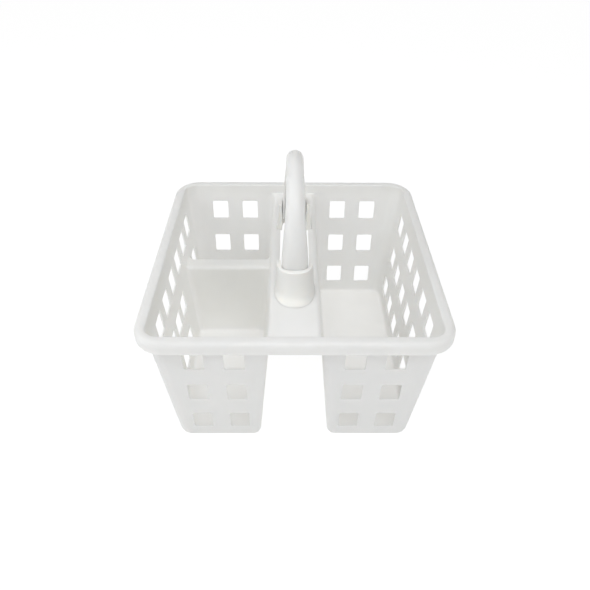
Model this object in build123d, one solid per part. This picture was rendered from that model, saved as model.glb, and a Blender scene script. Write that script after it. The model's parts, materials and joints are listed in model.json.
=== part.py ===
"""Two-sided cleaning caddy: a pierced basket moulding and a lift-out carrying handle.

Millimetres. X runs across the caddy, Y from its front to its back and Z up. The origin is the
centre of the footprint, on the surface that the caddy stands on.

The basket is one thin moulded sheet: three drafted wells hang from a lipped rim, parted by an
inverted-U bridge that runs front to back and by a lower divider across the left half. It is
built whole and then cut along flat planes into named regions that meet face to face.
The handle is a second moulding, an arch with a cored underside, that drops into two sockets.
"""
import os
from math import cos, radians, sin

from build123d import *

# Rim
RIM_X = 320.0                  # across the rim, outside
RIM_Y = 326.0                  # front to back, outside
RIM_TOP = 174.5                # height of the rim above the feet
RIM_CORNER = 32.0              # plan radius of the rim's corners
RIM_SKIRT = 13.5               # height of the lip's outer skirt
RIM_LIP = 10.3                 # how far the lip stands out beyond the wall
RIM_ROUND = 5.5                # rounding of the lip's upper edge
LIP_WALL = 2.2                 # thickness of the lip

# Walls
WALL = 2.0                     # sheet thickness, walls and floors
DRAFT_X = 0.089                # inward lean of the side walls, per unit of height
DRAFT_Y = 0.10                 # inward lean of the front and back walls
DRAFT_CHANNEL = 0.085          # lean of the walls beside the central channel
WALL_CORNER = 16.0             # outside radius of the caddy's upright corners
WELL_CORNER = 9.0              # corner radius of the wells beside the channels
TOE = 6.0                      # rounding between the walls and the floors, outside

# Central bridge and the divider across the left half
BRIDGE_TOP = 163.0             # upper face of the bridge
BRIDGE_HALF = 25.5             # half width of the channel under the bridge, at its roof
DIVIDER_TOP = 106.0            # upper face of the divider
DIVIDER_Y = 63.5               # centre line of the divider
DIVIDER_HALF = 8.5             # half width of the channel under the divider, at its roof
BRIDGE_END = 148.0             # half length of the bridge between the end walls
SHOULDER = 5.0                 # rounding along the bridge's and the divider's upper edges

# Windows
WINDOW_ROWS = (137.7, 85.4, 32.9)      # heights of the window centres
WINDOW_HIGH = 26.4
WINDOW_ROUND = 1.6
WINDOW_CUT = 20.0              # reach of a window's cutter either side of the wall's face
END_WINDOW_WIDE = 21.4         # front and back walls
END_COLUMNS = (61.5, 103.0)
SIDE_WINDOW_WIDE = 24.2        # side walls
SIDE_PITCH = 40.0
SIDE_COUNT = 6
SIDE_CENTRE = 3.0
LEFT_PITCH = 34.6              # lower rows of the left front well
LEFT_COUNT = 4
LEFT_FIRST = (0.6, -5.4)       # rearmost window centre, middle row and bottom row

# Handle sockets
SLOT_HALF = 17.3               # half width of the slot in the bridge, between the sockets
BORE_HALF = 15.0               # half width of a socket's bore, snug around the leg
BORE_CENTRE = 62.0             # where the bore's straight sides end and its rounded end begins
BORE_REACH = (17.0, 14.9)      # depth of the rounded end, at the bridge and at the socket's top
BORE_HAUNCH = 0.78             # squareness of the bore's end; 0.707 is an ellipse
SOCKET_HAUNCH = 0.74           # squareness of the socket's outside
SOCKET_MOUTH = 57.6            # open side of the socket
SOCKET_TOP = 198.0
SOCKET_FLARE = ((163.0, 23.0, 93.0), (168.0, 21.4, 88.0), (177.0, 20.4, 84.8), (198.0, 19.2, 82.3))
SEAT_TOP = 177.0               # post in each bore that the handle's foot stands on
SEAT_HALF = 8.0
SEAT_LONG = 9.0

# Handle
FOOT_Z = 177.3                 # underside of the handle's feet
SPRING_Z = 205.0               # height where the arch begins
LEG_Y = 67.0                   # centre line of the legs
APEX_Z = 290.4                 # top of the arch
LEG_DEEP = 18.0                # thickness of a leg, in the plane of the arch
GRIP_DEEP = 14.0               # thickness of the grip
HANDLE_WALL = 2.6
CHEEK_SHARE = 0.35             # straight part of the handle's sides, as a share of its thickness
GRIP_FROM = 58.0               # degrees round the arch where the grip begins
ARCH_STEP = 15                 # degrees between the arch's sections
HANDLE_WIDTHS = (              # half width at a height
    (177.3, 14.4), (203.0, 14.1), (218.0, 13.0), (232.0, 11.9),
    (247.0, 10.4), (262.0, 9.8), (278.0, 9.4), (295.0, 8.4),
)

ELLIPSE = sin(radians(45))     # share of its half axes that an ellipse keeps at its haunch
BIG = 400.0                    # beyond every face of the caddy
CUT_PAST = 5.0                 # how far a cutting or filling block runs past the face it works on
UNDER_EDGE = 0.5               # how far below a rounded upper edge the regions are parted
BLOCK_DEEP = 20.0              # depth of the blocks that the ridges are trimmed to
LIP_UNDER = RIM_TOP - RIM_SKIRT
os.makedirs("parts", exist_ok=True)


def half_x(z):
    """Half width of the walls' outer face at height z."""
    return RIM_X / 2 - RIM_LIP - DRAFT_X * (RIM_TOP - z)


def half_y(z):
    """Half depth of the walls' outer face at height z."""
    return RIM_Y / 2 - RIM_LIP - DRAFT_Y * (RIM_TOP - z)


def channel(z):
    """Half width of the central channel at height z."""
    return BRIDGE_HALF + DRAFT_CHANNEL * (BRIDGE_TOP - WALL - z)


def divider(z):
    """Half width of the channel under the divider at height z."""
    return DIVIDER_HALF + DRAFT_Y * (DIVIDER_TOP - WALL - z)


def block(x0, x1, y0, y1, z0, z1):
    """Axis-aligned box between two corners."""
    centre = ((x0 + x1) / 2, (y0 + y1) / 2, (z0 + z1) / 2)
    return Pos(*centre) * Box(x1 - x0, y1 - y0, z1 - z0)


def whole_limits(inset):
    """Plan limits of the whole basket at a height, set in from the outer face."""
    def at(z):
        x = half_x(z) - inset
        y = half_y(z) - inset
        return -x, x, -y, y
    return at


def well_limits(name, inset):
    """Plan limits of one well at a height, set in from its outer face."""
    def at(z):
        far = half_x(z) - inset
        near = channel(z) + inset
        end = half_y(z) - inset
        if name == "right":
            return near, far, -end, end
        if name == "left_front":
            return -far, -near, -end, DIVIDER_Y - divider(z) - inset
        if name == "left_rear":
            return -far, -near, DIVIDER_Y + divider(z) + inset, end
        return -far, -near, -end, end
    return at


def nearest_edge(body, point):
    """The edge of a body whose middle lies nearest to a point."""
    return min(body.edges(), key=lambda edge: (edge.center() - point).length)


def drafted(limits, z0, z1, radii):
    """Four-sided block with leaning walls; corner radii run anticlockwise from low X, low Y."""
    x0, x1, y0, y1 = limits(z0)
    u0, u1, v0, v1 = limits(z1)
    wedge = Wedge(x1 - x0, z1 - z0, y1 - y0, u0 - x0, y1 - v1, u1 - x0, y1 - v0, align=None)
    body = Pos(x0, y1, z0) * Rot(X=90) * wedge
    middle = body.bounding_box().center()
    centres = [edge.center() for edge in body.edges() if abs(edge.tangent_at(0.5).Z) > 0.5]
    by_radius = {}
    for centre in centres:
        at = centre - middle
        corner = (0 if at.X < 0 else 1) if at.Y < 0 else (3 if at.X < 0 else 2)
        by_radius.setdefault(radii[corner], []).append(centre)
    for radius, chosen in sorted(by_radius.items()):
        body = fillet([nearest_edge(body, centre) for centre in chosen], radius)
    return body


def whole_body(inset, z0, z1):
    """Block of the whole basket between two heights."""
    return drafted(whole_limits(inset), z0, z1, [WALL_CORNER - inset] * 4)


def well_radii(name, inset):
    """Corner radii of one well: large on the caddy's corners, small beside the channels."""
    outer = WALL_CORNER - inset
    inner = WELL_CORNER - inset
    return {
        "right": (inner, outer, outer, inner),
        "left": (outer, inner, inner, outer),
        "left_front": (outer, inner, inner, inner),
        "left_rear": (inner, inner, inner, outer),
    }[name]


def well_body(name, inset, z_low, z_high, toe=0):
    """Drafted well, with a rounded toe around its floor where one is asked for."""
    body = drafted(well_limits(name, inset), z_low, z_high, well_radii(name, inset))
    if toe:
        body = fillet(body.faces().sort_by(Axis.Z)[0].edges(), toe)
    return body


def ridge_rounding(radius, half, top, length):
    """The four-cornered sliver outside a quarter circle, along Y, for one upper edge."""
    square = block(half - radius, half, -length / 2, length / 2, top - radius, top)
    rod = Pos(half - radius, 0, top - radius) * Rot(X=90) * Cylinder(radius, length + CUT_PAST)
    return square - rod


def window_x(x, y, z, wide):
    """Cutter for one window through a side wall whose face is near x."""
    outline = Plane.YZ * RectangleRounded(wide, WINDOW_HIGH, WINDOW_ROUND)
    return Pos(x, y, z) * extrude(outline, WINDOW_CUT, both=True)


def window_y(x, y, z):
    """Cutter for one window through the front or the back wall, whose face is near y."""
    outline = Plane.XZ * RectangleRounded(END_WINDOW_WIDE, WINDOW_HIGH, WINDOW_ROUND)
    return Pos(x, y, z) * extrude(outline, WINDOW_CUT, both=True)


def side_windows():
    """Every window in the two side walls."""
    cutters = []
    for row, z in enumerate(WINDOW_ROWS):
        for k in range(SIDE_COUNT):
            y = SIDE_CENTRE + SIDE_PITCH * (k - (SIDE_COUNT - 1) / 2)
            cutters.append(window_x(half_x(z), y, z, SIDE_WINDOW_WIDE))
            if row == 0 or k == SIDE_COUNT - 1:
                cutters.append(window_x(-half_x(z), y, z, SIDE_WINDOW_WIDE))
    for first, z in zip(LEFT_FIRST, WINDOW_ROWS[1:]):
        for k in range(LEFT_COUNT):
            cutters.append(window_x(-half_x(z), first - k * LEFT_PITCH, z, SIDE_WINDOW_WIDE))
    return cutters


def end_windows():
    """Every window in the front wall and the back wall."""
    cutters = []
    for z in WINDOW_ROWS:
        for x in END_COLUMNS:
            for side in (-1, 1):
                for end in (-1, 1):
                    cutters.append(window_y(side * x, end * half_y(z), z))
    return cutters


def d_section(centre, outward, half, cheek, reach, haunch_share=ELLIPSE):
    """D-shaped face: a flat through centre, straight cheeks and a rounded nose."""
    across = Vector(1, 0, 0)
    right = centre + across * half + outward * cheek
    left = centre - across * half + outward * cheek
    tip = centre + outward * (cheek + reach)
    haunch = centre + outward * (cheek + reach * haunch_share)
    nose_right = Spline(right, haunch + across * half * haunch_share, tip, tangents=(outward, across * -1))
    nose_left = Spline(tip, haunch - across * half * haunch_share, left, tangents=(across * -1, outward * -1))
    cheek_right = Line(centre + across * half, right)
    cheek_left = Line(left, centre - across * half)
    flat = Line(centre - across * half, centre + across * half)
    return Face(Wire([cheek_right, nose_right, nose_left, cheek_left, flat]))


def socket_section(half, reach, z, side, haunch_share):
    """Level section of a socket whose mouth faces the middle of the caddy."""
    mouth = Vector(0, side * SOCKET_MOUTH, z)
    return d_section(mouth, Vector(0, side, 0), half, BORE_CENTRE - SOCKET_MOUTH, reach, haunch_share)


def socket_outer(side):
    """Outer form of one socket, flared into the bridge."""
    sections = []
    for z, half, y_out in SOCKET_FLARE:
        sections.append(socket_section(half, y_out - BORE_CENTRE, z, side, SOCKET_HAUNCH))
    return loft(sections)


def socket_bore(side):
    """Bore of one socket, right through the bridge."""
    slope = (BORE_REACH[1] - BORE_REACH[0]) / (SOCKET_TOP - BRIDGE_TOP)
    below, above = BRIDGE_TOP - CUT_PAST, SOCKET_TOP + CUT_PAST
    low = socket_section(BORE_HALF, BORE_REACH[0] - slope * CUT_PAST, below, side, BORE_HAUNCH)
    high = socket_section(BORE_HALF, BORE_REACH[1] + slope * CUT_PAST, above, side, BORE_HAUNCH)
    return loft([low, high], ruled=True)


def handle_half(z):
    """Half width of the handle at height z, read off its tapering outline."""
    for (z0, w0), (z1, w1) in zip(HANDLE_WIDTHS, HANDLE_WIDTHS[1:]):
        if z <= z1:
            return w0 + (w1 - w0) * (z - z0) / (z1 - z0)
    return HANDLE_WIDTHS[-1][1]


def handle_section(centre, outward, deep, inset):
    """Section across the handle: its outside, or the core that leaves its inner side open."""
    half = handle_half(centre.Z) - inset
    cheek = CHEEK_SHARE * deep
    flat = centre - outward * (deep / 2 + inset)
    return d_section(flat, outward, half, cheek + inset, deep - cheek - inset)


def handle_form(inset):
    """Arch with upright legs, lofted through sections from the front foot to the back foot."""
    rise = APEX_Z - GRIP_DEEP / 2 - SPRING_Z
    sections = []
    foot = FOOT_Z - inset
    front = Vector(0, -1, 0)
    for z in (foot, (foot + SPRING_Z) / 2):
        sections.append(handle_section(Vector(0, -LEG_Y, z), front, LEG_DEEP, inset))
    for turn in range(0, 180 + ARCH_STEP, ARCH_STEP):
        across, up = cos(radians(turn)), sin(radians(turn))
        centre = Vector(0, -LEG_Y * across, SPRING_Z + rise * up)
        outward = Vector(0, -across / LEG_Y, up / rise).normalized()
        deep = LEG_DEEP + (GRIP_DEEP - LEG_DEEP) * up
        sections.append(handle_section(centre, outward, deep, inset))
    for z in ((foot + SPRING_Z) / 2, foot):
        sections.append(handle_section(Vector(0, LEG_Y, z), front * -1, LEG_DEEP, inset))
    return loft(sections)


def lip():
    """Rolled lip around the rim, open underneath."""
    outside = RectangleRounded(RIM_X, RIM_Y, RIM_CORNER)
    solid = extrude(Pos(0, 0, LIP_UNDER) * outside, RIM_SKIRT)
    solid = fillet(solid.faces().sort_by(Axis.Z)[-1].edges(), RIM_ROUND)
    inside = RectangleRounded(RIM_X - 2 * LIP_WALL, RIM_Y - 2 * LIP_WALL, RIM_CORNER - LIP_WALL)
    hollow = extrude(Pos(0, 0, LIP_UNDER) * inside, RIM_SKIRT - LIP_WALL)
    hollow = fillet(hollow.faces().sort_by(Axis.Z)[-1].edges(), RIM_ROUND - LIP_WALL)
    return solid - (hollow - whole_body(0, LIP_UNDER - CUT_PAST, RIM_TOP + CUT_PAST))


def round_ridges(body):
    """Round the upper edges of the bridge and the divider, keeping the sheet's thickness."""
    roof = BRIDGE_TOP - WALL
    low_roof = DIVIDER_TOP - WALL
    inner = whole_body(WALL, BRIDGE_TOP - BLOCK_DEEP, RIM_TOP)
    left_inner = well_body("left", WALL, DIVIDER_TOP - BLOCK_DEEP, BRIDGE_TOP)
    left_outer = well_body("left", 0, DIVIDER_TOP - BLOCK_DEEP, BRIDGE_TOP)
    for turn in (0, 180):
        along = Rot(Z=turn)
        half = channel(roof)
        body -= along * ridge_rounding(SHOULDER, half + WALL, BRIDGE_TOP, RIM_Y) & inner
        body += along * ridge_rounding(SHOULDER - WALL, half, roof, 2 * BRIDGE_END)
        across = Pos(0, DIVIDER_Y, 0) * Rot(Z=90 + turn)
        body -= across * ridge_rounding(SHOULDER, DIVIDER_HALF + WALL, DIVIDER_TOP, RIM_X) & left_inner
        body += across * ridge_rounding(SHOULDER - WALL, DIVIDER_HALF, low_roof, RIM_X) & left_outer
    return body


def add_sockets(body):
    """Cut the bridge's slot, and stand a socket at each end of it with a seat for the handle."""
    for side in (-1, 1):
        body += socket_outer(side)
    low, high = BRIDGE_TOP - CUT_PAST, BRIDGE_TOP + CUT_PAST
    body -= block(-SLOT_HALF, SLOT_HALF, -SOCKET_MOUTH, SOCKET_MOUTH, low, high)
    for side in (-1, 1):
        body -= socket_bore(side)
        tip = side * (BORE_CENTRE + BORE_REACH[0])
        y0, y1 = sorted((tip - side * SEAT_LONG, tip + side * WALL / 2))
        body += block(-SEAT_HALF, SEAT_HALF, y0, y1, BRIDGE_TOP - WALL, SEAT_TOP)
    return body


def basket():
    """The whole basket moulding without its windows, before it is cut into regions."""
    roof = BRIDGE_TOP - WALL
    low_roof = DIVIDER_TOP - WALL
    body = whole_body(0, roof, RIM_TOP)
    body += well_body("left", 0, low_roof, roof)
    body += well_body("right", 0, 0, roof, TOE)
    body += well_body("left_front", 0, 0, low_roof, TOE)
    body += well_body("left_rear", 0, 0, low_roof, TOE)
    body += lip()
    body -= whole_body(WALL, BRIDGE_TOP, RIM_TOP + CUT_PAST)
    body -= well_body("left", WALL, DIVIDER_TOP, BRIDGE_TOP + CUT_PAST)
    body -= well_body("right", WALL, WALL, BRIDGE_TOP + CUT_PAST, TOE - WALL)
    body -= well_body("left_front", WALL, WALL, DIVIDER_TOP + CUT_PAST, TOE - WALL)
    body -= well_body("left_rear", WALL, WALL, DIVIDER_TOP + CUT_PAST, TOE - WALL)
    return add_sockets(round_ridges(body))


def regions():
    """Named boxes that cut the basket into pieces meeting face to face."""
    deck = BRIDGE_TOP - SHOULDER - UNDER_EDGE
    split = DIVIDER_TOP - SHOULDER - UNDER_EDGE
    corner_x, corner_y = 122.0, 123.0          # flat walls lie inside these, rounded corners outside
    inner_x = 50.0                             # and beyond this from the wells' corners by the channel
    side_x = 100.0                             # the lower side walls lie outside this
    rim_x, rim_y = 126.0, 129.0                # ends of the straight lengths of the rim
    wall_x = 135.0                             # the rim and the upper side wall lie outside this
    upper_x = 35.0                             # the upper wall by the channel lies inside this
    bridge_x, bridge_y = 36.0, BRIDGE_END      # half width and half length of the bridge's deck
    pocket_front, pocket_back = 30.0, 97.0     # flat lower walls end here, either side of the divider
    low, top = LIP_UNDER, SOCKET_TOP + CUT_PAST
    box = {
        "rim_front": (-rim_x, rim_x, -BIG, -bridge_y, low, top),
        "rim_back": (-rim_x, rim_x, bridge_y, BIG, low, top),
        "rim_left": (-BIG, -wall_x, -rim_y, rim_y, low, top),
        "rim_right": (wall_x, BIG, -rim_y, rim_y, low, top),
        "bridge_deck_front": (-bridge_x, bridge_x, -bridge_y, -SOCKET_MOUTH, deck, BRIDGE_TOP),
        "bridge_deck_back": (-bridge_x, bridge_x, SOCKET_MOUTH, bridge_y, deck, BRIDGE_TOP),
        "bridge_rail_left": (-bridge_x, 0, -SOCKET_MOUTH, SOCKET_MOUTH, deck, BRIDGE_TOP),
        "bridge_rail_right": (0, bridge_x, -SOCKET_MOUTH, SOCKET_MOUTH, deck, BRIDGE_TOP),
        "handle_socket_front": (-bridge_x, bridge_x, -bridge_y, -SOCKET_MOUTH, BRIDGE_TOP, top),
        "handle_socket_back": (-bridge_x, bridge_x, SOCKET_MOUTH, bridge_y, BRIDGE_TOP, top),
        "right_well_floor": (0, BIG, -BIG, BIG, 0, WALL),
        "right_well_side_wall": (side_x, BIG, -corner_y, corner_y, WALL, low),
        "right_well_channel_wall": (0, inner_x, -corner_y, corner_y, WALL, deck),
        "right_well_front_wall": (inner_x, corner_x, -BIG, -corner_y, WALL, low),
        "right_well_back_wall": (inner_x, corner_x, corner_y, BIG, WALL, low),
        "left_wells_front_wall": (-corner_x, -inner_x, -BIG, -corner_y, WALL, low),
        "left_wells_back_wall": (-corner_x, -inner_x, corner_y, BIG, WALL, low),
        "left_wells_upper_side_wall": (-BIG, -wall_x, -corner_y, corner_y, split, low),
        "left_wells_upper_channel_wall": (-upper_x, 0, -corner_y, corner_y, split, deck),
        "divider_top": (-wall_x, -upper_x, pocket_front, pocket_back, split, DIVIDER_TOP),
        "left_front_well_floor": (-BIG, 0, -BIG, DIVIDER_Y, 0, WALL),
        "left_front_well_side_wall": (-BIG, -side_x, -corner_y, pocket_front, WALL, split),
        "left_front_well_channel_wall": (-inner_x, 0, -corner_y, pocket_front, WALL, split),
        "divider_front_wall": (-corner_x, -inner_x, pocket_front, DIVIDER_Y, WALL, split),
        "left_rear_well_floor": (-BIG, 0, DIVIDER_Y, BIG, 0, WALL),
        "left_rear_well_side_wall": (-BIG, -side_x, pocket_back, corner_y, WALL, split),
        "left_rear_well_channel_wall": (-inner_x, 0, pocket_back, corner_y, WALL, split),
        "divider_back_wall": (-corner_x, -inner_x, DIVIDER_Y, pocket_back, WALL, split),
    }
    spans_x = {"left": (-BIG, -corner_x), "right": (corner_x, BIG)}
    spans_y = {"front": (-BIG, -corner_y), "back": (corner_y, BIG)}
    rims_x = {"left": (-BIG, -rim_x), "right": (rim_x, BIG)}
    rims_y = {"front": (-BIG, -rim_y), "back": (rim_y, BIG)}
    inner = {"left": (-inner_x, 0), "right": (0, inner_x)}
    for end in ("front", "back"):
        for side in ("left", "right"):
            box[f"rim_corner_{end}_{side}"] = (*rims_x[side], *rims_y[end], low, top)
            box[f"outer_corner_{end}_{side}"] = (*spans_x[side], *spans_y[end], WALL, low)
            box[f"channel_corner_{end}_{side}"] = (*inner[side], *spans_y[end], WALL, low)
    for name, span in (("front", (pocket_front, DIVIDER_Y)), ("back", (DIVIDER_Y, pocket_back))):
        box[f"divider_{name}_corner_outer"] = (*spans_x["left"], *span, WALL, split)
        box[f"divider_{name}_corner_inner"] = (*inner["left"], *span, WALL, split)
    solids = {name: block(*limits) for name, limits in box.items()}
    bridge = block(-bridge_x, bridge_x, -bridge_y, bridge_y, deck, top)
    for name in solids:
        if name.startswith("channel_corner"):
            solids[name] -= bridge
    return solids


def handle_pieces():
    """The handle cut into its two legs, two arms and the grip."""
    whole = handle_form(0) - handle_form(HANDLE_WALL)
    grip = LEG_Y * cos(radians(GRIP_FROM))
    box = {
        "handle_leg_front": (-BIG, 0, 0, SPRING_Z),
        "handle_arm_front": (-BIG, -grip, SPRING_Z, BIG),
        "handle_grip": (-grip, grip, SPRING_Z, BIG),
        "handle_arm_back": (grip, BIG, SPRING_Z, BIG),
        "handle_leg_back": (0, BIG, 0, SPRING_Z),
    }
    return {name: whole & block(-BIG, BIG, *limits) for name, limits in box.items()}


def pierce(piece, cutters):
    """Cut the windows that reach a piece."""
    box = piece.bounding_box()
    hits = []
    for cutter in cutters:
        other = cutter.bounding_box()
        low = [max(a, b) for a, b in zip(tuple(box.min), tuple(other.min))]
        high = [min(a, b) for a, b in zip(tuple(box.max), tuple(other.max))]
        if all(a < b for a, b in zip(low, high)):
            hits.append(cutter)
    for cutter in hits:
        piece -= cutter
    return piece


moulding = basket()
cutters = side_windows() + end_windows()
pieces = {name: pierce(moulding & region, cutters) for name, region in regions().items()}
pieces.update(handle_pieces())
for name, piece in pieces.items():
    export_step(piece, f"parts/{name}.step")
print(len(pieces), "nodes,", len(cutters), "windows; basket", round(moulding.volume), "mm3 before windows,",
      round(sum(piece.volume for piece in pieces.values())), "mm3 in all the pieces")
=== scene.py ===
"""Looks of the two-sided cleaning caddy: a pierced basket moulding and its carrying handle.

Lengths are in millimetres while the meshes are drawn and in metres once they are made.
"""
import json
from math import cos, exp, pi, radians, sin

import bmesh
import bpy
from mathutils import Matrix, Vector


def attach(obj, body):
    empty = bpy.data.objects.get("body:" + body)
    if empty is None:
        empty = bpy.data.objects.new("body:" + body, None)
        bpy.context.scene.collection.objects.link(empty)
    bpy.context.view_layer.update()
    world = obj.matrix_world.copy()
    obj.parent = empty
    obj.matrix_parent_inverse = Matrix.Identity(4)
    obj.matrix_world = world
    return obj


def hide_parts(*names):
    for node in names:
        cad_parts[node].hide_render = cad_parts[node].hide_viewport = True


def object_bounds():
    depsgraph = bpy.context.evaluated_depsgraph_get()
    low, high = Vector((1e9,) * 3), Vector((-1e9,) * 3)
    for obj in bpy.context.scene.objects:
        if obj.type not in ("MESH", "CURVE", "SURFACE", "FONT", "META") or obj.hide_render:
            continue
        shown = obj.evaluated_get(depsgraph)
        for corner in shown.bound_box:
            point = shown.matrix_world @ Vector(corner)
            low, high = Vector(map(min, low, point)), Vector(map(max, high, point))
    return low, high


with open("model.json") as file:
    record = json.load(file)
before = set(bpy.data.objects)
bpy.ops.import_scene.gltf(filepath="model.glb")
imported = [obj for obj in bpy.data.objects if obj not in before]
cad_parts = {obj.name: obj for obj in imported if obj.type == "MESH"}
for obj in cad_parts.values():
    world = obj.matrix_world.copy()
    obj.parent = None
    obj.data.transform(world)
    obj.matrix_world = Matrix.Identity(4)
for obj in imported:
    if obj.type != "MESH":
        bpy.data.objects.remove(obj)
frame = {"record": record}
cad_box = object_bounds()

MM = 0.001
WALL = 2.0                     # thickness of the moulded sheet

# Plan and draft of the sheet's inner face
RIM_X, RIM_Y, RIM_TOP = 320.0, 326.0, 174.5
RIM_LIP, RIM_CORNER, RIM_ROUND, RIM_EDGE = 10.3, 32.0, 5.5, 1.5
LIP_UNDER = 161.0
DRAFT_X, DRAFT_Y, DRAFT_CHANNEL = 0.089, 0.10, 0.085
OUTER_RADIUS, INNER_RADIUS, TOE = 14.0, 7.0, 4.0
BRIDGE_TOP, BRIDGE_HALF = 163.0, 25.5
DIVIDER_TOP, DIVIDER_Y, DIVIDER_HALF = 106.0, 63.5, 8.5
SHOULDER = 5.0
ARC_STEPS = 8                  # segments in a quarter turn of a corner

# Windows
WINDOW_HIGH, WINDOW_ROUND, FRAME = 26.4, 1.6, 1.5
ROWS = (137.7, 85.4, 32.9)
END_COLUMNS, END_WIDE = (61.5, 103.0), 21.4
SIDE_COLUMNS, SIDE_WIDE = (-97.0, -57.0, -17.0, 23.0, 63.0, 103.0), 24.2
LEFT_COLUMNS = ((-103.2, -68.6, -34.0, 0.6), (-109.2, -74.6, -40.0, -5.4))

# Sockets and handle
SLOT_HALF, BORE_HALF, BORE_CENTRE, BORE_REACH = 17.3, 15.0, 62.0, (17.0, 14.4)
MOUTH, SOCKET_TOP, SEAT_TOP = 57.6, 198.0, 177.0
FOOT_Z, SPRING_Z, LEG_Y, APEX_Z = 177.4, 205.0, 67.0, 290.4
LEG_DEEP, GRIP_DEEP, HANDLE_WALL, CHEEK = 18.0, 14.0, 2.6, 0.35
HANDLE_WIDTHS = ((177.3, 14.4), (203.0, 14.1), (218.0, 13.0), (232.0, 11.9),
                 (247.0, 10.4), (262.0, 9.8), (278.0, 9.4), (295.0, 8.4))


# ---------------------------------------------------------------- outlines

def half_x(z):
    return RIM_X / 2 - RIM_LIP - WALL - DRAFT_X * (RIM_TOP - z)


def half_y(z):
    return RIM_Y / 2 - RIM_LIP - WALL - DRAFT_Y * (RIM_TOP - z)


def near_x(z):
    return BRIDGE_HALF + WALL + DRAFT_CHANNEL * (BRIDGE_TOP - WALL - z)


def divider(z):
    return DIVIDER_HALF + WALL + DRAFT_Y * (DIVIDER_TOP - WALL - z)


def cells(centres, wide):
    """Edges of the panes round a row of windows, in rising order."""
    reach = wide / 2 + FRAME
    return [c + s * reach for c in centres for s in (-1, 1)]


END_CELLS = cells(END_COLUMNS, END_WIDE)
END_CELLS_LEFT = [-x for x in reversed(END_CELLS)]


def left_cells(z):
    """Pane edges down the left wall, which change from row to row."""
    upper = cells(SIDE_COLUMNS, SIDE_WIDE)
    if z > DIVIDER_TOP + 1:
        return upper
    row = 0 if z > (ROWS[1] + ROWS[2]) / 2 else 1
    front = cells(LEFT_COLUMNS[row], SIDE_WIDE)
    front[0] = max(front[0], -half_y(z) + OUTER_RADIUS + 0.1)
    return front + [DIVIDER_Y - divider(z) - INNER_RADIUS, DIVIDER_Y + divider(z) + INNER_RADIUS] + upper[-2:]


WELLS = {
    "right": dict(radii=(INNER_RADIUS, OUTER_RADIUS, OUTER_RADIUS, INNER_RADIUS), push=(-1, 0)),
    "left": dict(radii=(OUTER_RADIUS, INNER_RADIUS, INNER_RADIUS, OUTER_RADIUS), push=(1, 0)),
    "left_front": dict(radii=(OUTER_RADIUS, INNER_RADIUS, INNER_RADIUS, INNER_RADIUS), push=(0, 1)),
    "left_rear": dict(radii=(INNER_RADIUS, INNER_RADIUS, INNER_RADIUS, OUTER_RADIUS), push=(0, -1)),
}


def limits(name, z):
    far, near, end = half_x(z), near_x(z), half_y(z)
    return {
        "whole": (-far, far, -end, end),
        "right": (near, far, -end, end),
        "left": (-far, -near, -end, end),
        "left_front": (-far, -near, -end, DIVIDER_Y - divider(z)),
        "left_rear": (-far, -near, DIVIDER_Y + divider(z), end),
    }[name]


def breaks(name, z):
    """Extra points along the front, right, back and left sides, in rising order."""
    seam = near_x(z) + INNER_RADIUS
    left = left_cells(z)
    return {
        "whole": (END_CELLS_LEFT + [-seam, 0, seam] + END_CELLS, cells(SIDE_COLUMNS, SIDE_WIDE),
                  END_CELLS_LEFT + [-seam, 0, seam] + END_CELLS, left_cells(BRIDGE_TOP)),
        "right": (END_CELLS, cells(SIDE_COLUMNS, SIDE_WIDE), END_CELLS, []),
        "left": (END_CELLS_LEFT, left[8:10] if z <= DIVIDER_TOP + 1 else [46.2, 80.8], END_CELLS_LEFT, left),
        "left_front": (END_CELLS_LEFT, [], [], left[:8]),
        "left_rear": ([], [], END_CELLS_LEFT, left[-2:]),
    }[name]


def ring(box, radii, along, z, inset=0.0, push=(0, 0), shift=0.0):
    """Rounded outline at height z, anticlockwise from the corner of low X and low Y.

    Gives the points, and for each the side it starts (0 to 3) with its strip number, or None on a corner.
    """
    x0, x1, y0, y1 = box[0] + inset, box[1] - inset, box[2] + inset, box[3] - inset
    corners = ((x0, y0, 1, 1), (x1, y0, -1, 1), (x1, y1, -1, -1), (x0, y1, 1, -1))
    points, tags = [], []
    for k, (cx, cy, sx, sy) in enumerate(corners):
        radius = radii[k] - inset
        for step in range(ARC_STEPS + 1):
            turn = radians(180 + 90 * k + 90 * step / ARC_STEPS)
            nx, ny = cos(turn), sin(turn)
            weight = max(0.0, nx * push[0] + ny * push[1])
            points.append(Vector((cx + sx * radius + nx * radius + shift * weight * push[0],
                                  cy + sy * radius + ny * radius + shift * weight * push[1], z)))
            tags.append(None)
        tags[-1] = (k, 0)
        first = (x0 + radii[0] - inset, y0 + radii[1] - inset, x0 + radii[3] - inset, y0 + radii[0] - inset)[k]
        last = (x1 - radii[1] + inset, y1 - radii[2] + inset, x1 - radii[2] + inset, y1 - radii[3] + inset)[k]
        side = [min(max(value, first + 0.05), last - 0.05) for value in along[k]]
        if k in (2, 3):
            side.reverse()
        normal = ((0, -1), (1, 0), (0, 1), (-1, 0))[k]
        weight = max(0.0, normal[0] * push[0] + normal[1] * push[1])
        for number, value in enumerate(side):
            at = ((value, y0), (x1, value), (value, y1), (x0, value))[k]
            points.append(Vector((at[0] + shift * weight * push[0], at[1] + shift * weight * push[1], z)))
            tags.append((k, number + 1))
    return points, tags


# ---------------------------------------------------------------- mesh helpers

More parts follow.
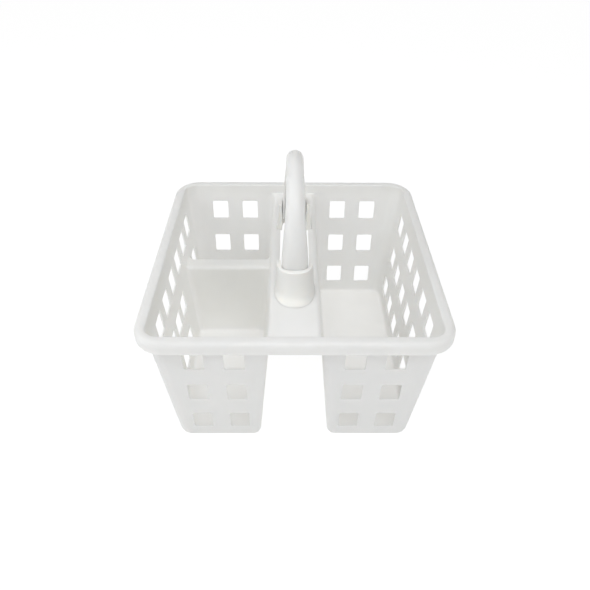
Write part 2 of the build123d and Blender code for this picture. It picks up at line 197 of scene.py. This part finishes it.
class Sheet:
    """Faces gathered into one mesh, with points that coincide made one."""

    def __init__(self):
        self.bm = bmesh.new()
        self.known = {}

    def vert(self, p):
        key = (round(p[0] * 200), round(p[1] * 200), round(p[2] * 200))
        for dx in (0, -1, 1):
            for dy in (0, -1, 1):
                for dz in (0, -1, 1):
                    near = self.known.get((key[0] + dx, key[1] + dy, key[2] + dz))
                    if near is not None and (near.co - Vector(p) * MM).length < 4e-6:
                        return near
        made = self.bm.verts.new(Vector(p) * MM)
        self.known[key] = made
        return made

    def face(self, points):
        verts = []
        for p in points:
            v = self.vert(p)
            if v not in verts:
                verts.append(v)
        if len(verts) > 2:
            self.bm.faces.new(verts)

    def pane(self, a, b, c, d):
        """A four-sided pane from a, b (upper edge) to c, d (lower edge), with a rounded window in it."""
        across, down = b - a, d - a
        wide, high = across.length, down.length
        ex, ey = across / wide, down / high
        r = WINDOW_ROUND
        steps = 4
        corner = ((a, 1, 1, 180), (b, -1, 1, 270), (c, -1, -1, 0), (d, 1, -1, 90))
        arcs = []
        for point, sx, sy, start in corner:
            centre = point + ex * sx * (FRAME + r) + ey * sy * (FRAME + r)
            turns = [radians(start + 90 * k / steps) for k in range(steps + 1)]
            arcs.append([centre + ex * r * cos(t) + ey * r * sin(t) for t in turns])
        for k, (point, sx, sy, start) in enumerate(corner):
            other = corner[(k + 1) % 4][0]
            self.face([point] + arcs[k][::-1])
            self.face([point, other, arcs[(k + 1) % 4][0], arcs[k][-1]])

    def stitch(self, upper, lower, sides=()):
        """Quads between two rings; the odd strips of the sides named hold windows."""
        (top, tags), (low, _) = upper, lower
        count = len(top)
        for i in range(count):
            j = (i + 1) % count
            tag = tags[i]
            if tag and tag[0] in sides and tag[1] % 2:
                self.pane(top[i], top[j], low[j], low[i])
            else:
                self.face([top[i], top[j], low[j], low[i]])

    def mesh(self, name):
        made = bpy.data.meshes.new(name)
        self.bm.normal_update()
        self.bm.to_mesh(made)
        self.bm.free()
        return made


def shoulder_levels(top):
    """Heights and outward shifts round the shoulder below a ridge's flat top, from the top down."""
    for turn in (90, 72, 54, 36, 18, 0):
        yield top - SHOULDER + SHOULDER * sin(radians(turn)), SHOULDER * (1 - cos(radians(turn)))


def well_rings(name, top, bottom, rows, floor):
    """Rings of one well from its mouth down, each with the sides that have windows below it."""
    well = WELLS[name]
    levels = [(z, 0.0, shift, False) for z, shift in shoulder_levels(top)]
    for centre in rows:
        reach = WINDOW_HIGH / 2 + FRAME
        levels.append((centre + reach, 0.0, 0.0, True))
        levels.append((centre - reach, 0.0, 0.0, False))
    if floor:
        for turn in (0, 18, 36, 54, 72, 90):
            levels.append((WALL + TOE - TOE * sin(radians(turn)), TOE * (1 - cos(radians(turn))), 0.0, False))
    else:
        levels.append((bottom, 0.0, 0.0, False))
    made = []
    for z, inset, shift, windows in levels:
        made.append((ring(limits(name, z), well["radii"], breaks(name, z), z, inset, well["push"], shift), windows))
    return made


def smooth(mesh, angle=35):
    for polygon in mesh.polygons:
        polygon.use_smooth = True
    mesh.set_sharp_from_angle(angle=radians(angle))


def add_object(name, mesh, body, material):
    made = bpy.data.objects.new(name, mesh)
    bpy.context.scene.collection.objects.link(made)
    mesh.materials.append(material)
    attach(made, body)
    return made


def soften(obj, width, segments=2, angle=50):
    """Rounded moulded edges, with the flats kept flat."""
    bevel = obj.modifiers.new("edges", "BEVEL")
    bevel.width = width * MM
    bevel.segments = segments
    bevel.limit_method = "ANGLE"
    bevel.angle_limit = radians(angle)
    bevel.harden_normals = False
    bevel.use_clamp_overlap = True
    even = obj.modifiers.new("flats", "WEIGHTED_NORMAL")
    even.keep_sharp = True
    even.weight = 60


# ---------------------------------------------------------------- basket

def basket_mesh():
    """The basket's inner and upper face as one sheet of quads."""
    sheet = Sheet()
    whole = [OUTER_RADIUS] * 4

    def outline(grow_x, grow_y, radius, z):
        box = (-grow_x, grow_x, -grow_y, grow_y)
        return ring(box, [radius] * 4, breaks("whole", BRIDGE_TOP), z)

    # lip, from the foot of its skirt over the top to the mouth of the wells
    rings = [outline(RIM_X / 2, RIM_Y / 2, RIM_CORNER, LIP_UNDER)]
    for turn in (0, 15, 30, 45, 60, 75, 90):
        back = RIM_ROUND * (1 - cos(radians(turn)))
        z = RIM_TOP - RIM_ROUND + RIM_ROUND * sin(radians(turn))
        rings.append(outline(RIM_X / 2 - back, RIM_Y / 2 - back, RIM_CORNER - back, z))
    for turn in (90, 60, 30, 0):
        out = RIM_EDGE * (1 - cos(radians(turn)))
        z = RIM_TOP - RIM_EDGE + RIM_EDGE * sin(radians(turn))
        rings.append(ring(limits("whole", z), whole, breaks("whole", BRIDGE_TOP), z, -out))
    rings.append(ring(limits("whole", BRIDGE_TOP), whole, breaks("whole", BRIDGE_TOP), BRIDGE_TOP))
    for upper, lower in zip(rings, rings[1:]):
        sheet.stitch(upper, lower)

    # wells
    plans = (
        ("right", BRIDGE_TOP, 0, ROWS, True, (0, 1, 2)),
        ("left", BRIDGE_TOP, DIVIDER_TOP, ROWS[:1], False, (0, 2, 3)),
        ("left_front", DIVIDER_TOP, 0, ROWS[1:], True, (0, 3)),
        ("left_rear", DIVIDER_TOP, 0, ROWS[1:], True, (2, 3)),
    )
    mouths = {}
    for name, top, bottom, rows, floor, sides in plans:
        made = well_rings(name, top, bottom, rows, floor)
        mouths[name] = made[0][0]
        for (upper, windows), (lower, _) in zip(made, made[1:]):
            sheet.stitch(upper, lower, sides if windows else ())
        if floor:
            sheet.face(made[-1][0][0])
        else:
            mouths[name + "_foot"] = made[-1][0]

    # flat of the bridge, in two halves round the slot
    end = half_y(BRIDGE_TOP)
    for side in (1, -1):
        name = "right" if side > 0 else "left"
        seam = near_x(BRIDGE_TOP) + INNER_RADIUS
        edge = [p for p in mouths[name][0] if abs(p.x) <= seam + 0.01]
        edge.sort(key=lambda p: (round(p.y, 3), -abs(p.x) * (1 if p.y < 0 else -1)))
        front = [p for p in edge if p.y < 0]
        back = [p for p in edge if p.y > 0]
        front.sort(key=lambda p: (-abs(p.x)))
        back.sort(key=lambda p: (abs(p.x)))
        slot = []
        hole = BORE_REACH[0] + 0.8
        for step in range(17):
            c, s = cos(radians(90 * step / 16)), sin(radians(90 * step / 16))
            slot.append(Vector((side * SLOT_HALF * s ** 0.5, -BORE_CENTRE - hole * c ** 0.5, BRIDGE_TOP)))
        slot.append(Vector((side * SLOT_HALF, -MOUTH, BRIDGE_TOP)))
        slot += [Vector((p.x, -p.y, p.z)) for p in reversed(slot)]
        loop = [Vector((0, -end, BRIDGE_TOP))] + front + back + [Vector((0, end, BRIDGE_TOP))] + slot[::-1]
        sheet.face(loop if side > 0 else loop[::-1])

    # flat of the divider
    low, high = mouths["left_front"][0], mouths["left_rear"][0]
    near_low = DIVIDER_Y - divider(DIVIDER_TOP) - INNER_RADIUS
    near_high = DIVIDER_Y + divider(DIVIDER_TOP) + INNER_RADIUS
    lower_edge = sorted([p for p in low if p.y > near_low - 0.01], key=lambda p: p.x)
    upper_edge = sorted([p for p in high if p.y < near_high + 0.01], key=lambda p: -p.x)
    lower_edge.sort(key=lambda p: (round(p.x, 4), -p.y if p.x > -80 else p.y))
    upper_edge.sort(key=lambda p: (-round(p.x, 4), -p.y if p.x > -80 else p.y))
    sheet.face(lower_edge + upper_edge)
    return sheet.mesh("basket")


def signed_power(value, power):
    return abs(value) ** power * (1 if value >= 0 else -1)


def socket_section(z, half, y_out, side):
    """Points of a socket's C-shaped wall at one height: outer run and inner run."""
    outer, inner = [], []
    steps = 32
    share = (z - BRIDGE_TOP) / (SOCKET_TOP - BRIDGE_TOP)
    bore = BORE_REACH[0] + (BORE_REACH[1] - BORE_REACH[0]) * share
    for run, h, reach, power in ((outer, half, y_out - BORE_CENTRE, 2 / 2.3), (inner, BORE_HALF, bore, 0.66)):
        run.append(Vector((h, side * MOUTH, z)))
        run.append(Vector((h, side * (MOUTH + BORE_CENTRE) / 2, z)))
        for step in range(steps + 1):
            c, s = cos(pi * step / steps), sin(pi * step / steps)
            run.append(Vector((h * signed_power(c, power), side * (BORE_CENTRE + reach * abs(s) ** power), z)))
        run.append(Vector((-h, side * (MOUTH + BORE_CENTRE) / 2, z)))
        run.append(Vector((-h, side * MOUTH, z)))
    return outer, inner


def sockets_mesh():
    """The two handle sockets, flared where they grow out of the bridge, with a seat for each foot."""
    sheet = Sheet()
    for side in (-1, 1):
        levels = [BRIDGE_TOP - WALL + 0.05, BRIDGE_TOP - 0.4]
        levels += [BRIDGE_TOP + d for d in (0, 0.3, 0.7, 1.3, 2.1, 3.2, 4.6, 6.5, 9, 12.5, 17, 22, 28)] + [SOCKET_TOP]
        runs = []
        for z in levels:
            rise = max(0.0, z - BRIDGE_TOP)
            flare = exp(-rise / 3.6)
            half = 19.2 + 0.057 * (SOCKET_TOP - BRIDGE_TOP - rise) + 1.1 * flare
            y_out = 82.3 + 0.12 * (SOCKET_TOP - BRIDGE_TOP - rise) + 8.8 * flare
            runs.append(socket_section(z, half, y_out, side))
        count = len(runs[0][0])
        for (outer_a, inner_a), (outer_b, inner_b) in zip(runs, runs[1:]):
            for i in range(count - 1):
                sheet.face([outer_a[i], outer_a[i + 1], outer_b[i + 1], outer_b[i]])
                sheet.face([inner_a[i + 1], inner_a[i], inner_b[i], inner_b[i + 1]])
            for i in (0, count - 1):
                sheet.face([outer_a[i], outer_b[i], inner_b[i], inner_a[i]])
        for outer, inner in (runs[0], runs[-1]):
            for i in range(count - 1):
                sheet.face([outer[i], outer[i + 1], inner[i + 1], inner[i]])
        tip = BORE_CENTRE + BORE_REACH[0]
        y0, y1 = side * (tip - 9.0), side * (tip + 0.5)
        z0, z1 = BRIDGE_TOP - WALL + 0.1, SEAT_TOP
        p = [Vector((x, y, z)) for z in (z0, z1) for y in (y0, y1) for x in (-8.0, 8.0)]
        for quad in ((0, 1, 3, 2), (4, 5, 7, 6), (0, 1, 5, 4), (2, 3, 7, 6), (0, 2, 6, 4), (1, 3, 7, 5)):
            sheet.face([p[k] for k in quad])
    bmesh.ops.recalc_face_normals(sheet.bm, faces=sheet.bm.faces)
    return sheet.mesh("sockets")


# ---------------------------------------------------------------- handle

def handle_half(z):
    for (z0, w0), (z1, w1) in zip(HANDLE_WIDTHS, HANDLE_WIDTHS[1:]):
        if z <= z1:
            return w0 + (w1 - w0) * (z - z0) / (z1 - z0)
    return HANDLE_WIDTHS[-1][1]


def smooth_half(z):
    """The handle's half width, averaged over a short height so that its outline has no kinks."""
    return sum(handle_half(z + dz) for dz in (-8, -5, -2, 0, 2, 5, 8)) / 7


def handle_path():
    """Stations along the handle: centre, outward direction, thickness and share of the way up the arch."""
    rise = APEX_Z - GRIP_DEEP / 2 - SPRING_Z
    stations = []
    for step in range(9):
        z = FOOT_Z + (SPRING_Z - FOOT_Z) * step / 9
        stations.append((Vector((0, -LEG_Y, z)), Vector((0, -1, 0)), LEG_DEEP, 0.0))
    for step in range(61):
        turn = pi * step / 60
        across, up = cos(turn), sin(turn)
        centre = Vector((0, -LEG_Y * across, SPRING_Z + rise * up))
        outward = Vector((0, -across / LEG_Y, up / rise)).normalized()
        stations.append((centre, outward, LEG_DEEP + (GRIP_DEEP - LEG_DEEP) * up, up))
    for step in range(8, -1, -1):
        z = FOOT_Z + (SPRING_Z - FOOT_Z) * step / 9
        stations.append((Vector((0, LEG_Y, z)), Vector((0, 1, 0)), LEG_DEEP, 0.0))
    return stations


def handle_mesh():
    """A U-section swept over the arch, open towards its inner side."""
    sheet = Sheet()
    steps = 20
    rings = []
    for centre, outward, deep, up in handle_path():
        half = smooth_half(centre.z)
        cheek = CHEEK * deep
        power = 2 / (2.55 - 0.65 * up)
        loop = []
        for inset, flip in ((0.0, 1), (HANDLE_WALL, -1)):
            h, reach, foot = half - inset, deep - cheek - inset, -deep / 2
            run = [(h, foot), (h, foot + cheek * 0.5)]
            for step in range(steps + 1):
                turn = pi * step / steps
                c, s = cos(turn), sin(turn)
                x = h * (abs(c) ** power) * (1 if c >= 0 else -1)
                run.append((x, foot + cheek + reach * (abs(s) ** power)))
            run += [(-h, foot + cheek * 0.5), (-h, foot)]
            loop += run if flip > 0 else run[::-1]
        rings.append([centre + Vector((x, 0, 0)) + outward * d for x, d in loop])
    count = len(rings[0])
    for a, b in zip(rings, rings[1:]):
        for i in range(count):
            j = (i + 1) % count
            sheet.face([a[i], a[j], b[j], b[i]])
    half_count = count // 2
    for end in (rings[0], rings[-1]):
        for i in range(half_count - 1):
            sheet.face([end[i], end[i + 1], end[count - 2 - i], end[count - 1 - i]])
    bmesh.ops.recalc_face_normals(sheet.bm, faces=sheet.bm.faces)
    return sheet.mesh("handle")


# ---------------------------------------------------------------- material

def plastic(name, tint, scatter):
    """Satin white polypropylene: faintly translucent, with a fine moulded grain and soft flow marks."""
    made = bpy.data.materials.new(name)
    made.use_nodes = True
    nodes, links = made.node_tree.nodes, made.node_tree.links
    shader = nodes["Principled BSDF"]
    shader.inputs["IOR"].default_value = 1.49
    shader.inputs["Subsurface Weight"].default_value = 1.0
    shader.inputs["Subsurface Radius"].default_value = (1.0, 0.95, 0.9)
    shader.inputs["Subsurface Scale"].default_value = scatter
    where = nodes.new("ShaderNodeTexCoord")

    def noise(scale, detail, rough):
        node = nodes.new("ShaderNodeTexNoise")
        node.inputs["Scale"].default_value = scale
        node.inputs["Detail"].default_value = detail
        node.inputs["Roughness"].default_value = rough
        links.new(where.outputs["Object"], node.inputs["Vector"])
        return node

    def ramp(source, low, high, from_low=0.35, from_high=0.65):
        node = nodes.new("ShaderNodeMapRange")
        node.inputs["From Min"].default_value = from_low
        node.inputs["From Max"].default_value = from_high
        node.inputs["To Min"].default_value = low
        node.inputs["To Max"].default_value = high
        links.new(source.outputs["Fac"], node.inputs["Value"])
        return node

    flow = noise(9.0, 3.0, 0.5)
    cloud = noise(45.0, 4.0, 0.55)
    grain = noise(1500.0, 2.0, 0.6)
    ripple = noise(28.0, 1.0, 0.4)

    colour = nodes.new("ShaderNodeMix")
    colour.data_type = "RGBA"
    colour.inputs["A"].default_value = (*[c * 0.965 for c in tint], 1)
    colour.inputs["B"].default_value = (*tint, 1)
    blend = nodes.new("ShaderNodeMath")
    blend.operation = "ADD"
    links.new(ramp(flow, 0.0, 0.6).outputs["Result"], blend.inputs[0])
    links.new(ramp(cloud, 0.0, 0.4).outputs["Result"], blend.inputs[1])
    links.new(blend.outputs["Value"], colour.inputs["Factor"])
    links.new(colour.outputs["Result"], shader.inputs["Base Color"])
    links.new(ramp(cloud, 0.36, 0.46).outputs["Result"], shader.inputs["Roughness"])

    fine = nodes.new("ShaderNodeBump")
    fine.inputs["Strength"].default_value = 0.12
    fine.inputs["Distance"].default_value = 0.0002
    links.new(grain.outputs["Fac"], fine.inputs["Height"])
    broad = nodes.new("ShaderNodeBump")
    broad.inputs["Strength"].default_value = 0.10
    broad.inputs["Distance"].default_value = 0.002
    links.new(ripple.outputs["Fac"], broad.inputs["Height"])
    links.new(fine.outputs["Normal"], broad.inputs["Normal"])
    links.new(broad.outputs["Normal"], shader.inputs["Normal"])
    return made


TINT = (0.955, 0.95, 0.91)
white = plastic("white_plastic", TINT, 0.01)
white_socket = plastic("white_socket_plastic", TINT, 0.0015)
white_handle = plastic("white_handle_plastic", TINT, 0.01)

basket = add_object("basket_moulding", basket_mesh(), "basket", white)
skin = basket.modifiers.new("sheet", "SOLIDIFY")
skin.thickness = WALL * MM
skin.offset = -1
skin.use_even_offset = True
skin.use_quality_normals = True
smooth(basket.data)
soften(basket, 0.35)

sockets = add_object("handle_sockets", sockets_mesh(), "basket", white_socket)
smooth(sockets.data)
soften(sockets, 0.7, 3)

handle = add_object("carrying_handle", handle_mesh(), "handle", white_handle)
smooth(handle.data)
soften(handle, 0.7, 3)

bodies = frame["record"]["behaviour"]["bodies"]
basket_nodes = bodies["basket"]
socket_nodes = [n for n in basket_nodes if n.startswith("handle_socket")]
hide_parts(*socket_nodes)
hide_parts(*[n for n in basket_nodes if n not in socket_nodes])
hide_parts(*bodies["handle"])


# ---------------------------------------------------------------- studio

def area_light(name, at, towards, size, power):
    lamp = bpy.data.lights.new(name, "AREA")
    lamp.shape = "DISK"
    lamp.size = size
    lamp.energy = power
    made = bpy.data.objects.new(name, lamp)
    made.location = at
    made.rotation_mode = "QUATERNION"
    made.rotation_quaternion = (Vector(towards) - Vector(at)).to_track_quat("-Z", "Y")
    bpy.context.scene.collection.objects.link(made)


def stage_material(name, grey, glow):
    made = bpy.data.materials.new(name)
    made.use_nodes = True
    shader = made.node_tree.nodes["Principled BSDF"]
    shader.inputs["Base Color"].default_value = (grey, grey, grey, 1)
    shader.inputs["Roughness"].default_value = 0.9
    shader.inputs["Emission Color"].default_value = (1, 1, 1, 1)
    shader.inputs["Emission Strength"].default_value = glow
    return made


def studio_floor():
    """Broad pale floor, far larger than the view."""
    bm = bmesh.new()
    bmesh.ops.create_grid(bm, x_segments=4, y_segments=4, size=6.0)
    mesh = bpy.data.meshes.new("floor")
    bm.to_mesh(mesh)
    bm.free()
    made = bpy.data.objects.new("floor", mesh)
    made.location = (0, 0, cad_box[0].z - 0.0002)
    made.visible_diffuse = False
    made.visible_shadow = False
    bpy.context.scene.collection.objects.link(made)
    mesh.materials.append(stage_material("floor_paper", FLOOR_GREY, FLOOR_GLOW))


def studio_backdrop():
    """Pale dome behind everything. It is only seen, and neither lights the object nor shades it."""
    bm = bmesh.new()
    bmesh.ops.create_uvsphere(bm, u_segments=48, v_segments=24, radius=8.0)
    mesh = bpy.data.meshes.new("backdrop")
    bm.to_mesh(mesh)
    bm.free()
    made = bpy.data.objects.new("backdrop", mesh)
    bpy.context.scene.collection.objects.link(made)
    mesh.materials.append(stage_material("backdrop_paper", 0.0, 0.97))
    made.visible_diffuse = False
    made.visible_glossy = False
    made.visible_transmission = False
    made.visible_volume_scatter = False
    made.visible_shadow = False


def studio_sky():
    """Soft light from all round. Its strength follows the height that it comes from."""
    world = bpy.data.worlds.new("studio")
    world.use_nodes = True
    nodes, links = world.node_tree.nodes, world.node_tree.links
    where = nodes.new("ShaderNodeTexCoord")
    split = nodes.new("ShaderNodeSeparateXYZ")
    height = nodes.new("ShaderNodeMapRange")
    height.inputs["From Min"].default_value = -1.0
    height.inputs["From Max"].default_value = 1.0
    ramp = nodes.new("ShaderNodeValToRGB")
    band = ramp.color_ramp
    while len(band.elements) < len(SKY):
        band.elements.new(0.5)
    for stop, (z, level) in zip(band.elements, SKY):
        stop.position = (z + 1) / 2
        stop.color = (level / SKY_STRENGTH, level / SKY_STRENGTH, level / SKY_STRENGTH, 1)
    links.new(where.outputs["Generated"], split.inputs["Vector"])
    links.new(split.outputs["Z"], height.inputs["Value"])
    links.new(height.outputs["Result"], ramp.inputs["Fac"])
    links.new(ramp.outputs["Color"], nodes["Background"].inputs["Color"])
    nodes["Background"].inputs["Strength"].default_value = SKY_STRENGTH
    bpy.context.scene.world = world


FLOOR_GREY, FLOOR_GLOW = 0.20, 0.88
SKY = ((-0.4, 0.9), (0.0, 0.4), (0.35, 0.3), (0.7, 0.45), (1.0, 0.55))    # height on the dome, level
SKY_STRENGTH = 1.0
studio_floor()
studio_backdrop()
studio_sky()
area_light("left", (-1.2, -0.3, 1.0), (0, 0, 0.1), 1.0, 6.0)
area_light("front", (0.1, -0.9, 1.4), (0, 0, 0.1), 1.0, 9.0)
scene = bpy.context.scene
scene.view_settings.view_transform = "Standard"

# camera: 38.5 degrees down on the front, from a little over three quarters of a metre
PITCH, YAW, ROLL = radians(38.51), radians(-0.71), radians(0.58)
lens = bpy.data.cameras.new("camera")
lens.sensor_width = 36.0
lens.lens = 34.57
lens.shift_y = -0.0147
lens.clip_start = 0.01
lens.clip_end = 50.0
camera = bpy.data.objects.new("camera", lens)
scene.collection.objects.link(camera)
turn = Matrix.Rotation(YAW, 3, "Z")
forward = turn @ Vector((0, cos(PITCH), -sin(PITCH)))
up = turn @ Vector((0, sin(PITCH), cos(PITCH)))
right = turn @ Vector((1, 0, 0))
right, up = cos(ROLL) * right + sin(ROLL) * up, -sin(ROLL) * right + cos(ROLL) * up
axes = Matrix((right, up, -forward)).transposed()
camera.matrix_world = Matrix.Translation((-0.0057, -0.5483, 0.5524)) @ axes.to_4x4()
scene.camera = camera
